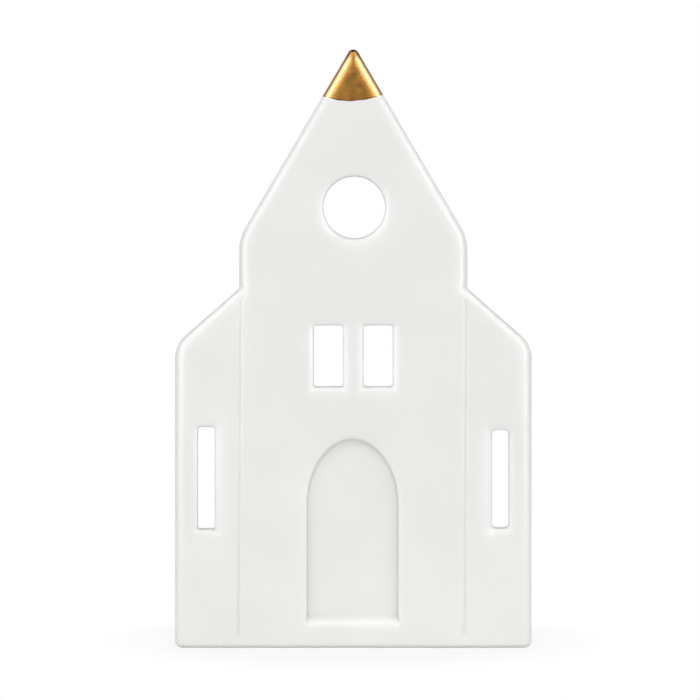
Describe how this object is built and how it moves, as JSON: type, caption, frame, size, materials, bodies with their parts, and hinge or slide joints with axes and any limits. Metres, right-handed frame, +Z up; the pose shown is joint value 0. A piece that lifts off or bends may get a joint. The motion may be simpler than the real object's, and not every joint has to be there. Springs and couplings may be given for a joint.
{
  "type": "tealight house",
  "caption": "White glazed porcelain church front with steep gilded gable, side aisles, cut-out windows and a blind door, open at the back, with a tealight standing on its floor.",
  "frame": {"origin": "on the surface the house stands on, under the middle of its width and depth", "axes": "+Z up towards the gilded tip, -Y out of the front with the windows and the door, +Y out of the open back, +X to the right as seen from the front"},
  "size_m": [0.143, 0.065, 0.2398],
  "materials": {
    "white_porcelain": "satin white glaze, bare and matt under the foot",
    "gold_lustre": "gold lustre fired on the glaze, semi-gloss with a soft mottle",
    "cup_aluminium": "bright thin pressed sheet",
    "white_wax": "smooth white paraffin wax, slightly translucent",
    "wick_cotton": "braided cotton dipped in wax",
    "tinplate": "bright tinplate"
  },
  "bodies": {
    "house": {"house_shell": "white_porcelain", "gilded_tip": "gold_lustre"},
    "tealight": {"tealight_cup": "cup_aluminium"},
    "candle": {"candle_wax": "white_wax", "candle_wick": "wick_cotton", "wick_sustainer": "tinplate"}
  },
  "joints": [
    {"name": "tealight_slide", "type": "slide", "parent": "house", "child": "tealight", "axis": [0, 1, 0], "range_m": [-0.008, 0.06]},
    {"name": "candle_lift", "type": "slide", "parent": "tealight", "child": "candle", "axis": [0, 0, 1], "range_m": [0, 0.03]}
  ]
}
